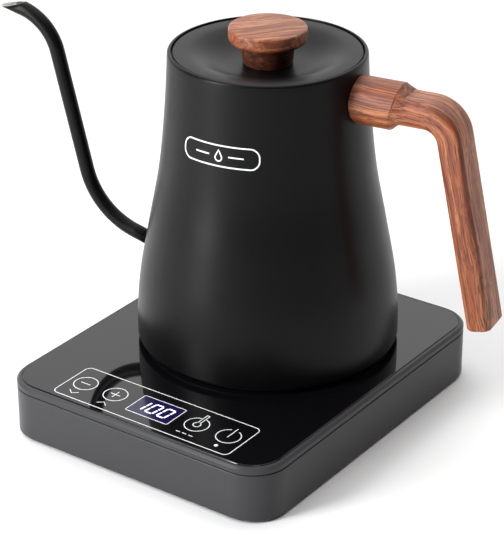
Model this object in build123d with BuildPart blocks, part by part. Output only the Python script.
from build123d import *
import math
import os

# Gooseneck kettle on a cordless heating base. Millimetres, +Z up. The origin is on
# the kettle's vertical axis at worktop height. +X runs along the control panel,
# -Y points out of the front of the base.

# Driving dimensions of the base
BASE_X = 155.6
BASE_Y = 189.2
BASE_CENTRE_Y = -19.4
BASE_CORNER = 18.6
HOUSING_BOTTOM = 1.2
HOUSING_TOP = 25.4
HOUSING_WALL = 2.2
FRAME_BOTTOM = 25.6
FRAME_TOP = 29.3
GLASS_BOTTOM = 26.4
GLASS_TOP = 29.6
GLASS_INSET = 2.7
COVER_INSET = 4.6
COVER_BOTTOM = 0.9
COVER_TOP = 3.0

# Control panel: centre, key pitch and display, all seen from above
PANEL_X = 1.6
PANEL_Y = -94.0
KEY_OFFSETS = (-42.6, -24.3, 24.3, 42.6)
DISPLAY_X = 25.4
DISPLAY_Y = 16.4

# Driving dimensions of the kettle
KETTLE_TURN = 9.0
SHELL_BOTTOM = 32.6
SHELL_TOP = 181.1
SHELL_RADIUS = 65.1
RIM_RADIUS = 47.8
RIM_INNER = 46.0
SHELL_WALL = 0.9
FLOOR_BOTTOM = 52.0
COVER_REST = 29.9

# Outer profile of the shell above its straight foot, as (radius, height)
SHELL_PROFILE = [
    (SHELL_RADIUS, 41.0),
    (63.6, 62.3),
    (58.4, 92.0),
    (52.8, 121.7),
    (49.6, 151.4),
    (RIM_RADIUS, SHELL_TOP),
]

# Gooseneck centre line in the kettle's own vertical plane, as (reach, height)
SPOUT_ROUTE = [(-60.6, 65.6), (-97.2, 76.9), (-120.6, 175.7), (-151.4, 184.0)]
SPOUT_BENDS = [39.6, 26.6]
SPOUT_OUTER = 3.7
SPOUT_INNER = 3.0
SPOUT_CUT = [(-148.2, 179.5), (-135.1, 183.2)]

# Handle in the same plane
COLLAR_RADIUS = 11.6
COLLAR_HEIGHT = 164.3
COLLAR_END = 68.1
HANDLE_WIDTH = 20.0
HANDLE_OUTLINE = [
    (60.0, 157.8),
    (89.0, 157.8),
    (109.2, 59.5),
    (121.5, 62.0),
    (99.0, 171.2),
    (60.0, 171.2),
]

# Cordless connector
BOSS_RADIUS = 12.5
BOSS_TOP = 38.6
CONNECTOR_RADIUS = 19.2
KETTLE_CONNECTOR_RADIUS = 20.35

UP = (Align.CENTER, Align.CENTER, Align.MIN)
BASE = Plane((0, BASE_CENTRE_Y, 0))
TURN = math.radians(KETTLE_TURN)
SIDE = Plane((0, 0, 0), x_dir=(math.cos(TURN), math.sin(TURN), 0),
             z_dir=(math.sin(TURN), -math.cos(TURN), 0))


def in_plan(reach, across=0.0):
    """Plan position of a point given along and across the kettle's vertical plane."""
    return (
        reach * math.cos(TURN) - across * math.sin(TURN),
        reach * math.sin(TURN) + across * math.cos(TURN),
    )


def slab(inset, bottom, top, mode=Mode.ADD):
    """Block with the plan of the base, drawn in by inset all round."""
    with BuildSketch(BASE.offset(bottom)) as plan:
        RectangleRounded(BASE_X - 2 * inset, BASE_Y - 2 * inset, BASE_CORNER - inset)
    extrude(plan.sketch, amount=top - bottom, mode=mode)


def post(radius, bottom, top, places=((0, 0),), mode=Mode.ADD):
    """Upright cylinders at the given plan positions."""
    with Locations(*[(x, y, bottom) for x, y in places]):
        Cylinder(radius, top - bottom, align=UP, mode=mode)


def turned(points, mode=Mode.ADD):
    """Ring or disc turned about the kettle's axis from (radius, height) points."""
    with BuildSketch(Plane.XZ) as profile:
        with BuildLine():
            Polyline(*points, close=True)
        make_face()
    revolve(profile.sketch, axis=Axis.Z, mode=mode)


def block(x_size, y_size, bottom, top, place, mode=Mode.ADD):
    """Box standing on a given height at one plan position."""
    with Locations((place[0], place[1], bottom)):
        Box(x_size, y_size, top - bottom, align=UP, mode=mode)


def write(builder, name):
    """Label the finished piece and save it as its own file."""
    builder.part.label = name
    export_step(builder.part, f"parts/{name}.step")


os.makedirs("parts", exist_ok=True)

# ---------------------------------------------------------------- heating base



def corner_places(reach):
    """Four plan positions on the corner diagonals, a reach outside the corner centres."""
    x_place = BASE_X / 2 - BASE_CORNER + reach
    y_place = BASE_Y / 2 - BASE_CORNER + reach
    return [(sx * x_place, BASE_CENTRE_Y + sy * y_place) for sx in (-1, 1) for sy in (-1, 1)]


BOSSES = corner_places(6.9)
BOSS_WEBS = corner_places(10.3)
GLAND_HEIGHT = 13.0
GLAND_NECK = 5.0
BACK_Y = BASE_CENTRE_Y + BASE_Y / 2
GLAND = Plane((0, BACK_Y, GLAND_HEIGHT), x_dir=(1, 0, 0), z_dir=(0, 1, 0))

with BuildPart() as base_housing:
    slab(0, HOUSING_BOTTOM, HOUSING_TOP)
    foot_edges = base_housing.faces().sort_by(Axis.Z)[0].edges()
    chamfer(foot_edges, length=0.8)
    slab(HOUSING_WALL, HOUSING_BOTTOM - 1, HOUSING_TOP + 1, mode=Mode.SUBTRACT)
    post(3.6, 5.4, 20.4, BOSSES)
    post(2.4, 5.4, 20.4, BOSS_WEBS)
    post(1.3, 5.4, 17.4, BOSSES, mode=Mode.SUBTRACT)
    with BuildSketch(GLAND.offset(-HOUSING_WALL - 1)):
        Circle(GLAND_NECK)
    extrude(amount=HOUSING_WALL + 2, mode=Mode.SUBTRACT)
write(base_housing, "base_housing")

SKIRT_INSET = 2.5
SKIRT_WALL = 1.5
LEDGE_INSET = 7.5
with BuildPart() as top_frame:
    slab(0, FRAME_BOTTOM, FRAME_TOP)
    bezel_edges = top_frame.faces().sort_by(Axis.Z)[-1].edges()
    chamfer(bezel_edges, length=1.1)
    slab(GLASS_INSET - 0.1, GLASS_BOTTOM, FRAME_TOP + 1, mode=Mode.SUBTRACT)
    slab(SKIRT_INSET, 21.4, FRAME_BOTTOM)
    slab(LEDGE_INSET, 25, GLASS_BOTTOM + 1, mode=Mode.SUBTRACT)
    slab(SKIRT_INSET + SKIRT_WALL, 20, FRAME_BOTTOM - 0.4, mode=Mode.SUBTRACT)
write(top_frame, "top_frame")

with BuildPart() as glass_top:
    slab(GLASS_INSET, GLASS_BOTTOM, GLASS_TOP)
    glass_edges = glass_top.faces().sort_by(Axis.Z)[-1].edges()
    chamfer(glass_edges, length=0.35)
    post(CONNECTOR_RADIUS + 0.2, GLASS_BOTTOM - 1, GLASS_TOP + 1, mode=Mode.SUBTRACT)
write(glass_top, "glass_top")

# The middle foot stands under the connector, where the weight of the kettle comes down
CORNER_FEET = [(sx * 56.0, BASE_CENTRE_Y + sy * 73.0) for sx in (-1, 1) for sy in (-1, 1)]
FEET = CORNER_FEET + [(0, 0)]
POWER_POSTS = [(-38.0, -67.0), (38.0, -67.0), (-38.0, -31.0), (38.0, -31.0)]
CONTROL_POSTS = [(-50.0, PANEL_Y), (53.2, PANEL_Y)]
POWER_BOTTOM = 9.0
POWER_TOP = 10.6
CONTROL_BOTTOM = 21.6
CONTROL_TOP = 23.2
with BuildPart() as base_bottom_cover:
    slab(COVER_INSET, COVER_BOTTOM, COVER_TOP)
    cover_edges = base_bottom_cover.faces().sort_by(Axis.Z)[0].edges()
    chamfer(cover_edges, length=0.6)
    slab(HOUSING_WALL + 0.3, COVER_TOP - 0.2, 5.2)
    slab(HOUSING_WALL + 2.1, COVER_TOP, 6, mode=Mode.SUBTRACT)
    post(4.0, COVER_TOP - 0.1, 5.2, BOSSES)
    post(6.1, COVER_BOTTOM - 1, 1.9, FEET, mode=Mode.SUBTRACT)
    post(7.6, 1.9, 4.2, FEET)
    post(1.7, 0, 6, BOSSES, mode=Mode.SUBTRACT)
    post(3.2, 0, 2.55, BOSSES, mode=Mode.SUBTRACT)
    post(19.0, COVER_TOP - 0.1, 12.0)
    post(15.5, COVER_TOP, 13.0, mode=Mode.SUBTRACT)
    post(2.7, COVER_TOP - 0.1, POWER_BOTTOM, POWER_POSTS)
    post(2.7, COVER_TOP - 0.1, CONTROL_BOTTOM, CONTROL_POSTS)
    post(1.1, 4.0, POWER_BOTTOM + 1, POWER_POSTS, mode=Mode.SUBTRACT)
    post(1.1, 14.0, CONTROL_BOTTOM + 1, CONTROL_POSTS, mode=Mode.SUBTRACT)
write(base_bottom_cover, "base_bottom_cover")

with BuildPart() as rubber_feet:
    post(6.0, 0, 1.85, FEET)
    sole_edges = rubber_feet.edges().filter_by(GeomType.CIRCLE).group_by(Axis.Z)[0]
    fillet(sole_edges, radius=0.3)
write(rubber_feet, "rubber_feet")

with BuildPart() as base_cover_screws:
    post(3.0, 0.95, 2.5, BOSSES)
    post(1.25, 2.5, 16.0, BOSSES)
    post(1.2, 0.5, 2.0, BOSSES, mode=Mode.SUBTRACT)
write(base_cover_screws, "base_cover_screws")

SOCKET_DEPTH = 20.0
RING_INNER = 7.6
RING_OUTER = 9.7
with BuildPart() as base_connector:
    post(CONNECTOR_RADIUS, 12.1, GLASS_TOP - 0.2)
    post(23.0, 23.9, GLASS_BOTTOM - 0.1)
    post(BOSS_RADIUS, GLASS_TOP - 1, BOSS_TOP)
    boss_edges = base_connector.edges().filter_by(GeomType.CIRCLE).group_by(Axis.Z)[-1]
    fillet(boss_edges, radius=1.0)
    post(RING_OUTER, SOCKET_DEPTH, BOSS_TOP + 1, mode=Mode.SUBTRACT)
    post(RING_INNER, SOCKET_DEPTH - 0.5, BOSS_TOP - 0.8)
    post(3.0, SOCKET_DEPTH, BOSS_TOP + 1, mode=Mode.SUBTRACT)
write(base_connector, "base_connector")

with BuildPart() as base_contacts:
    post(2.95, SOCKET_DEPTH + 0.05, 35.6)
    post(2.35, SOCKET_DEPTH + 1, 36, mode=Mode.SUBTRACT)
    turned([(9.1, SOCKET_DEPTH + 0.05), (9.65, SOCKET_DEPTH + 0.05), (9.65, 35.6), (9.1, 35.6)])
write(base_contacts, "base_contacts")

BOARD_EDGE = -28.0
with BuildPart() as power_board:
    block(84.0, 43.0, POWER_BOTTOM, POWER_TOP, (0, BOARD_EDGE - 21.5))
    post(1.5, 8, 12, POWER_POSTS, mode=Mode.SUBTRACT)
write(power_board, "power_board")

with BuildPart() as control_board:
    block(110.0, 26.0, CONTROL_BOTTOM, CONTROL_TOP, (PANEL_X, PANEL_Y))
    post(1.5, 20, 25, CONTROL_POSTS, mode=Mode.SUBTRACT)
write(control_board, "control_board")

with BuildPart() as board_screws:
    post(2.4, POWER_TOP, POWER_TOP + 1.6, POWER_POSTS)
    post(1.05, 5.0, POWER_TOP, POWER_POSTS)
    post(2.4, CONTROL_TOP, CONTROL_TOP + 1.6, CONTROL_POSTS)
    post(1.05, 15.5, CONTROL_TOP, CONTROL_POSTS)
write(board_screws, "board_screws")

with BuildPart() as display_module:
    block(DISPLAY_X, DISPLAY_Y, CONTROL_TOP, GLASS_BOTTOM - 0.1, (PANEL_X, PANEL_Y))
    block(DISPLAY_X - 3, DISPLAY_Y - 4, 26.0, 27.0, (PANEL_X, PANEL_Y), mode=Mode.SUBTRACT)
write(display_module, "display_module")

KEYS = [(PANEL_X + offset, PANEL_Y) for offset in KEY_OFFSETS]
with BuildPart() as touch_springs:
    post(4.0, CONTROL_TOP, GLASS_BOTTOM - 0.1, KEYS)
    post(3.2, CONTROL_TOP + 0.6, GLASS_BOTTOM - 0.7, KEYS, mode=Mode.SUBTRACT)
    post(1.6, CONTROL_TOP - 1, GLASS_BOTTOM, KEYS, mode=Mode.SUBTRACT)
write(touch_springs, "touch_springs")

with BuildPart() as relay:
    block(19.0, 15.5, POWER_TOP, 24.8, (24.0, -52.0))
    fillet(relay.edges().filter_by(Axis.Z), radius=1.0)
write(relay, "relay")

with BuildPart() as transformer:
    block(16.0, 13.0, POWER_TOP, 14.2, (0, -58.0))
    block(11.0, 13.0, 14.2, 20.0, (0, -58.0))
    block(16.0, 13.0, 20.0, 23.0, (0, -58.0))
write(transformer, "transformer")

with BuildPart() as capacitor:
    post(5.0, POWER_TOP, 24.0, [(-18.0, -58.0)])
    fillet(capacitor.edges().filter_by(GeomType.CIRCLE).group_by(Axis.Z)[-1], radius=0.6)
write(capacitor, "capacitor")

with BuildPart() as buzzer:
    post(6.0, POWER_TOP, 18.0, [(-33.0, -50.0)])
    post(1.0, 16.5, 19, [(-33.0, -50.0)], mode=Mode.SUBTRACT)
write(buzzer, "buzzer")

LEAD_SPACING = 2.2
LEAD_RADIUS = 1.0
LEAD_PASS_X = -28.0
# The leads begin a little way inside, so the bore of the gland stays open for the cord
LEAD_START_Y = BACK_Y - 15.0
OUTPUT_X = 0.0
with BuildPart() as terminal_blocks:
    block(12.0, 8.0, POWER_TOP, 18.0, (LEAD_PASS_X, BOARD_EDGE - 9.0))
    block(12.0, 8.0, POWER_TOP, 18.0, (OUTPUT_X, BOARD_EDGE - 9.0))
write(terminal_blocks, "terminal_blocks")

with BuildPart() as mains_leads:
    for lane in (-1, 0, 1):
        start_x = lane * LEAD_SPACING
        pass_x = LEAD_PASS_X + lane * LEAD_SPACING
        with BuildLine(Plane.XY.offset(GLAND_HEIGHT)) as route:
            FilletPolyline(
                (start_x, LEAD_START_Y),
                (start_x, LEAD_START_Y - 7.0 - lane * 1.5),
                (pass_x, LEAD_START_Y - 33.0 - lane * 1.5),
                (pass_x, BOARD_EDGE - 4.9),
                radius=9.0,
            )
        with BuildSketch(Plane(origin=route.line @ 0, z_dir=route.line % 0)):
            Circle(LEAD_RADIUS)
        sweep()
write(mains_leads, "mains_leads")

OUTPUT_HEIGHT = 15.0
with BuildPart() as connector_leads:
    for lane in (-1, 0, 1):
        start = Plane((OUTPUT_X + lane * 3.0, BOARD_EDGE - 4.9, OUTPUT_HEIGHT),
                      x_dir=(1, 0, 0), z_dir=(0, 1, 0))
        with BuildSketch(start):
            Circle(LEAD_RADIUS)
        extrude(amount=13.0)
write(connector_leads, "connector_leads")

INLET_RADIUS = 3.3
INLET_LENGTH = 12.0
with BuildPart() as cord_gland:
    with BuildSketch(GLAND.offset(-INLET_LENGTH + 2.0)):
        Circle(4.6)
    extrude(amount=INLET_LENGTH - 2.0)
    with BuildSketch(GLAND.offset(-HOUSING_WALL)):
        Circle(GLAND_NECK - 0.05)
    extrude(amount=HOUSING_WALL)
    with BuildSketch(GLAND):
        Circle(6.6)
    extrude(amount=2.0)
    with BuildSketch(GLAND.offset(-HOUSING_WALL - 1.8)):
        Circle(6.2)
    extrude(amount=1.7)
    rear_edges = cord_gland.edges().filter_by(GeomType.CIRCLE).group_by(Axis.Y)[-1]
    fillet(rear_edges, radius=0.8)
    with BuildSketch(GLAND.offset(-INLET_LENGTH)):
        Circle(INLET_RADIUS)
    extrude(amount=INLET_LENGTH + 4, mode=Mode.SUBTRACT)
write(cord_gland, "cord_gland")

# ---------------------------------------------------------------- kettle connector

with BuildPart() as kettle_connector:
    turned([
        (13.0, 30.4),
        (KETTLE_CONNECTOR_RADIUS, 30.4),
        (KETTLE_CONNECTOR_RADIUS, 36.0),
        (17.0, 36.0),
        (17.0, 42.0),
        (2.02, 42.0),
        (2.02, 39.4),
        (8.0, 39.4),
        (13.0, 39.4),
    ])
    entry_edges = kettle_connector.edges().filter_by(GeomType.CIRCLE).group_by(Axis.Z)[0]
    chamfer(entry_edges.sort_by(SortBy.RADIUS)[0], length=0.6)
write(kettle_connector, "kettle_connector")

with BuildPart() as kettle_contacts:
    post(2.0, 26.0, 42.8)
    fillet(kettle_contacts.edges().filter_by(GeomType.CIRCLE).group_by(Axis.Z)[0], radius=1.2)
    turned([(8.1, 27.0), (8.7, 27.0), (8.7, 39.35), (8.1, 39.35)])
write(kettle_contacts, "kettle_contacts")

# ---------------------------------------------------------------- kettle body


def shell_face(inward):
    """Half section of the shell's outside, drawn in by a wall thickness."""
    points = [(radius - inward, height) for radius, height in SHELL_PROFILE]
    with BuildSketch(Plane.XZ) as face:
        with BuildLine():
            Line((0, SHELL_BOTTOM), (SHELL_RADIUS - inward, SHELL_BOTTOM))
            Line((SHELL_RADIUS - inward, SHELL_BOTTOM), points[0])
            Spline(*points, tangents=((0, 1), (-0.04, 1)))
            Line(points[-1], (0, SHELL_TOP))
            Line((0, SHELL_TOP), (0, SHELL_BOTTOM))
        make_face()
    return face.sketch


ROUTE_START = Vector(*SPOUT_ROUTE[0])
ROUTE_SECOND = Vector(*SPOUT_ROUTE[1])
ROOT_DIRECTION = (ROUTE_SECOND - ROUTE_START).normalized()
root_x, root_y = in_plan(ROUTE_START.X)
lean_x, lean_y = in_plan(ROOT_DIRECTION.X)
SPOUT_ROOT = Plane(
    (root_x, root_y, ROUTE_START.Y),
    x_dir=(-math.sin(TURN), math.cos(TURN), 0),
    z_dir=(lean_x, lean_y, ROOT_DIRECTION.Y),
)

with BuildPart() as kettle_shell:
    revolve(shell_face(0), axis=Axis.Z)
    hem_edges = kettle_shell.edges().filter_by(GeomType.CIRCLE).group_by(Axis.Z)[0]
    fillet(hem_edges, radius=1.4)
    revolve(shell_face(SHELL_WALL), axis=Axis.Z, mode=Mode.SUBTRACT)
    turned([(RIM_INNER, 177.6), (47.3, 177.6), (47.3, 181.1), (RIM_INNER, 181.1)])
    rim_edges = kettle_shell.edges().filter_by(GeomType.CIRCLE).group_by(Axis.Z)[-1]
    fillet(rim_edges, radius=0.7)
    with BuildSketch(SPOUT_ROOT.offset(-3)):
        Circle(SPOUT_OUTER + 0.03)
    extrude(amount=9, mode=Mode.SUBTRACT)
write(kettle_shell, "kettle_shell")

with BuildPart() as spout:
    with BuildLine(SIDE):
        FilletPolyline(*SPOUT_ROUTE, radius=SPOUT_BENDS)
    with BuildSketch(SPOUT_ROOT):
        Circle(SPOUT_OUTER)
        Circle(SPOUT_INNER, mode=Mode.SUBTRACT)
    sweep()
    cut_low = SIDE.from_local_coords(Vector(*SPOUT_CUT[0]))
    cut_high = SIDE.from_local_coords(Vector(*SPOUT_CUT[1]))
    across = SIDE.z_dir
    split(bisect_by=Plane(cut_low, x_dir=cut_high - cut_low,
                          z_dir=across.cross(cut_high - cut_low)), keep=Keep.BOTTOM)
write(spout, "spout")

LEDGE_TOP = 177.0
with BuildPart() as mouth_ring:
    turned([
        (42.6, 176.0),
        (46.0, 176.0),
        (46.0, 170.0),
        (46.8, 170.0),
        (46.8, LEDGE_TOP),
        (42.6, LEDGE_TOP),
    ])
write(mouth_ring, "mouth_ring")

SENSOR = in_plan(26.0)
STUDS = [in_plan(55 * math.cos(math.radians(a)), 55 * math.sin(math.radians(a)))
         for a in (30, 150, 270)]
with BuildPart() as vessel_floor:
    turned([
        (0, FLOOR_BOTTOM),
        (62.6, FLOOR_BOTTOM),
        (62.6, FLOOR_BOTTOM - 5),
        (63.5, FLOOR_BOTTOM - 5),
        (63.5, FLOOR_BOTTOM + 1),
        (0, FLOOR_BOTTOM + 1),
    ])
    post(3.2, 36.8, FLOOR_BOTTOM, STUDS)
    post(1.3, 36, 48, STUDS, mode=Mode.SUBTRACT)
    post(3.2, 50, 55, [SENSOR], mode=Mode.SUBTRACT)
write(vessel_floor, "vessel_floor")

with BuildPart() as heat_spreader:
    post(50.0, 49.4, FLOOR_BOTTOM - 0.05)
    post(4.2, 48, 53, [SENSOR], mode=Mode.SUBTRACT)
write(heat_spreader, "heat_spreader")

ELEMENT_RADIUS = 37.0
ELEMENT_TUBE = 3.3
ELEMENT_SWEEP = 290.0
ELEMENT_HEIGHT = 46.0
element_start = math.radians(KETTLE_TURN + 180 - ELEMENT_SWEEP / 2)
ELEMENT_PLANE = Plane(
    (0, 0, ELEMENT_HEIGHT),
    x_dir=(math.cos(element_start), math.sin(element_start), 0),
    z_dir=(math.sin(element_start), -math.cos(element_start), 0),
)
ELEMENT_ENDS = [
    in_plan(ELEMENT_RADIUS * math.cos(math.radians(a)),
            ELEMENT_RADIUS * math.sin(math.radians(a)))
    for a in (180 - ELEMENT_SWEEP / 2 + 4, 180 + ELEMENT_SWEEP / 2 - 4)
]
with BuildPart() as heating_element:
    with BuildSketch(ELEMENT_PLANE):
        with Locations((ELEMENT_RADIUS, 0)):
            Circle(ELEMENT_TUBE)
    revolve(axis=Axis.Z, revolution_arc=ELEMENT_SWEEP)
    post(1.5, 38.5, ELEMENT_HEIGHT, ELEMENT_ENDS)
write(heating_element, "heating_element")

with BuildPart() as temperature_sensor:
    post(2.5, 42.5, 62.0, [SENSOR])
    tip_edges = temperature_sensor.edges().filter_by(GeomType.CIRCLE).group_by(Axis.Z)[-1]
    fillet(tip_edges, radius=2.2)
    post(3.9, 44.6, 49.0, [SENSOR])
write(temperature_sensor, "temperature_sensor")

with BuildPart() as sensor_seal:
    post(4.1, 49.1, FLOOR_BOTTOM - 0.1, [SENSOR])
    post(3.1, FLOOR_BOTTOM - 0.1, FLOOR_BOTTOM + 1.1, [SENSOR])
    post(4.8, FLOOR_BOTTOM + 1.05, FLOOR_BOTTOM + 2.2, [SENSOR])
    post(2.55, 48, 56, [SENSOR], mode=Mode.SUBTRACT)
write(sensor_seal, "sensor_seal")

CUTOUT = in_plan(-4.0)
with BuildPart() as thermal_cutout:
    post(9.0, 45.0, 49.35, [CUTOUT])
    block(6.3, 0.8, 43.2, 45.2, (CUTOUT[0] - 5.0, CUTOUT[1]))
    block(6.3, 0.8, 43.2, 45.2, (CUTOUT[0] + 5.0, CUTOUT[1]))
write(thermal_cutout, "thermal_cutout")

with BuildPart() as bottom_seal:
    turned([(61.4, 36.7), (64.0, 36.7), (64.0, 38.3), (61.4, 38.3)])
write(bottom_seal, "bottom_seal")

SWIVEL_HOLE = KETTLE_CONNECTOR_RADIUS + 0.05
with BuildPart() as bottom_cover:
    turned([
        (SWIVEL_HOLE, COVER_REST),
        (60.6, COVER_REST),
        (62.0, 31.3),
        (62.0, 33.0),
        (63.9, 33.0),
        (63.9, 36.6),
        (61.6, 36.6),
        (61.6, 32.2),
        (SWIVEL_HOLE + 2, 32.2),
        (SWIVEL_HOLE + 2, 35.6),
        (SWIVEL_HOLE, 35.6),
    ])
    post(4.4, 32.0, 36.7, STUDS)
    post(1.6, 29, 38, STUDS, mode=Mode.SUBTRACT)
    post(3.0, 29, 32.6, STUDS, mode=Mode.SUBTRACT)
write(bottom_cover, "bottom_cover")

with BuildPart() as bottom_cover_screws:
    post(2.8, 30.8, 32.55, STUDS)
    post(1.25, 32.55, 46.0, STUDS)
    post(1.1, 30, 31.8, STUDS, mode=Mode.SUBTRACT)
write(bottom_cover_screws, "bottom_cover_screws")

# ---------------------------------------------------------------- handle

BRACKET_WIDTH = 8.0
BRACKET_HEIGHT = 6.0
BRACKET_END = 79.0
BRACKET_PAD = 9.0
PAD_END = 50.0
HANDLE_SCREW = in_plan(74.5)
SCREW_SEAT = 159.6
REACH = Axis((0, 0, 0), SIDE.x_dir)
ACROSS = Axis((0, 0, 0), SIDE.z_dir)
COLLAR = Plane((0, 0, COLLAR_HEIGHT), x_dir=-SIDE.z_dir, z_dir=SIDE.x_dir)
shell_outside = revolve(shell_face(-0.1), axis=Axis.Z)


def bracket_shape(gap, mode=Mode.ADD):
    """Round pad and square tongue of the handle bracket, grown by a gap."""
    with BuildSketch(COLLAR.offset(45)) as pad:
        Circle(BRACKET_PAD + gap)
    extrude(pad.sketch, amount=PAD_END + gap - 45, mode=mode)
    with BuildSketch(COLLAR.offset(PAD_END - 1)) as tongue:
        Rectangle(BRACKET_WIDTH + 2 * gap, BRACKET_HEIGHT + 2 * gap)
    extrude(tongue.sketch, amount=BRACKET_END + gap - PAD_END + 1, mode=mode)


with BuildPart() as handle:
    with BuildSketch(SIDE) as grip:
        with BuildLine():
            Polyline(*HANDLE_OUTLINE, close=True)
        make_face()
        fillet(grip.vertices().filter_by_position(Axis.X, 88, 90), radius=7.0)
        fillet(grip.vertices().filter_by_position(Axis.X, 98, 100), radius=19.0)
    extrude(amount=HANDLE_WIDTH / 2, both=True)
    long_edges = ShapeList()
    for flank in (handle.faces().sort_by(ACROSS)[0], handle.faces().sort_by(ACROSS)[-1]):
        around = flank.edges()
        long_edges += [e for e in around if e.center().Z > 75 and e != around.sort_by(REACH)[0]]
    fillet(long_edges, radius=4.2)
    fillet(handle.faces().sort_by(Axis.Z)[0].edges(), radius=1.2)
    with BuildSketch(COLLAR.offset(44)):
        Circle(COLLAR_RADIUS)
    extrude(amount=COLLAR_END - 44)
    with BuildSketch(COLLAR.offset(COLLAR_END)):
        Circle(COLLAR_RADIUS)
    extrude(amount=5.5, taper=45)
    add(shell_outside, mode=Mode.SUBTRACT)
    bracket_shape(0.15, mode=Mode.SUBTRACT)
    post(3.0, 150, SCREW_SEAT, [HANDLE_SCREW], mode=Mode.SUBTRACT)
    post(1.7, 150, 164, [HANDLE_SCREW], mode=Mode.SUBTRACT)
write(handle, "handle")

with BuildPart() as handle_bracket:
    bracket_shape(0)
    add(shell_outside, mode=Mode.SUBTRACT)
    post(1.3, 150, 170, [HANDLE_SCREW], mode=Mode.SUBTRACT)
write(handle_bracket, "handle_bracket")

with BuildPart() as handle_screw:
    post(2.8, SCREW_SEAT - 1.5, SCREW_SEAT - 0.05, [HANDLE_SCREW])
    post(1.25, SCREW_SEAT - 0.05, 166.5, [HANDLE_SCREW])
    post(1.1, 150, SCREW_SEAT - 0.7, [HANDLE_SCREW], mode=Mode.SUBTRACT)
write(handle_screw, "handle_screw")

# ---------------------------------------------------------------- lid

LID_RADIUS = 45.4
DISH_TOP = 180.6
DISH_FLOOR = 174.6
DISH_SHEET = 1.0
DISH_FLAT = 14.0
DISH_RING = 39.5
KNOB_TOP = 192.5
KNOB_RADIUS = 18.8


def dish_curve(drop):
    """Soft hollow of the lid, from its flat middle out to its level ring."""
    return Spline(
        (DISH_FLAT, DISH_FLOOR - drop),
        (27.5, 176.5 - drop),
        (DISH_RING, DISH_TOP - 0.2 - drop),
        tangents=((1, 0), (1, 0.16)),
    )


with BuildPart() as lid_dish:
    with BuildSketch(Plane.XZ):
        with BuildLine():
            Line((2.3, DISH_FLOOR), (DISH_FLAT, DISH_FLOOR))
            dish_curve(0)
            Line((DISH_RING, DISH_TOP - 0.2), (LID_RADIUS, DISH_TOP))
            Line((LID_RADIUS, DISH_TOP), (LID_RADIUS, LEDGE_TOP + 0.35))
            Line((LID_RADIUS, LEDGE_TOP + 0.35), (LID_RADIUS - 1, LEDGE_TOP + 0.35))
            Line((LID_RADIUS - 1, LEDGE_TOP + 0.35), (LID_RADIUS - 1, DISH_TOP - 1.1))
            Line((LID_RADIUS - 1, DISH_TOP - 1.1), (DISH_RING, DISH_TOP - 1.2))
            dish_curve(DISH_SHEET)
            Line((DISH_FLAT, DISH_FLOOR - DISH_SHEET), (2.3, DISH_FLOOR - DISH_SHEET))
            Line((2.3, DISH_FLOOR - DISH_SHEET), (2.3, DISH_FLOOR))
        make_face()
    revolve(axis=Axis.Z)
    lip_edges = lid_dish.edges().filter_by(GeomType.CIRCLE).group_by(Axis.Z)[-1]
    fillet(lip_edges, radius=0.8)
write(lid_dish, "lid_dish")

SKIRT_RADIUS = 41.5
with BuildPart() as lid_skirt:
    turned([
        (SKIRT_RADIUS - 0.8, 166.0),
        (SKIRT_RADIUS, 166.0),
        (SKIRT_RADIUS, DISH_TOP - 1.25),
        (SKIRT_RADIUS - 0.8, DISH_TOP - 1.25),
    ])
write(lid_skirt, "lid_skirt")

with BuildPart() as lid_gasket:
    turned([
        (SKIRT_RADIUS + 0.02, 170.6),
        (SKIRT_RADIUS + 0.8, 172.0),
        (SKIRT_RADIUS + 0.8, 172.8),
        (SKIRT_RADIUS + 0.02, 174.2),
    ])
write(lid_gasket, "lid_gasket")

KNOB_BORE = 2.1
with BuildPart() as lid_knob:
    turned([
        (KNOB_BORE, DISH_FLOOR + 0.1),
        (12.0, DISH_FLOOR + 0.1),
        (13.0, 185.0),
        (16.6, 185.2),
        (KNOB_RADIUS, 187.3),
        (KNOB_RADIUS, KNOB_TOP),
        (0, KNOB_TOP),
        (0, 188.5),
        (KNOB_BORE, 188.5),
    ])
    knob_edges = lid_knob.edges().filter_by(GeomType.CIRCLE).group_by(Axis.Z)[-1]
    fillet(knob_edges, radius=1.4)
write(lid_knob, "lid_knob")

WASHER_BOTTOM = DISH_FLOOR - DISH_SHEET - 0.6
with BuildPart() as knob_washer:
    turned([
        (2.2, WASHER_BOTTOM),
        (6.0, WASHER_BOTTOM),
        (6.0, DISH_FLOOR - DISH_SHEET),
        (2.2, DISH_FLOOR - DISH_SHEET),
    ])
write(knob_washer, "knob_washer")

with BuildPart() as knob_screw:
    post(3.8, WASHER_BOTTOM - 2.2, WASHER_BOTTOM)
    head_edges = knob_screw.edges().filter_by(GeomType.CIRCLE).group_by(Axis.Z)[0]
    fillet(head_edges, radius=0.8)
    post(2.0, WASHER_BOTTOM, 187.5)
    with BuildSketch(Plane.XY.offset(WASHER_BOTTOM - 2.3)):
        Rectangle(4.4, 0.9)
        Rectangle(0.9, 4.4)
    extrude(amount=1.2, mode=Mode.SUBTRACT)
write(knob_screw, "knob_screw")
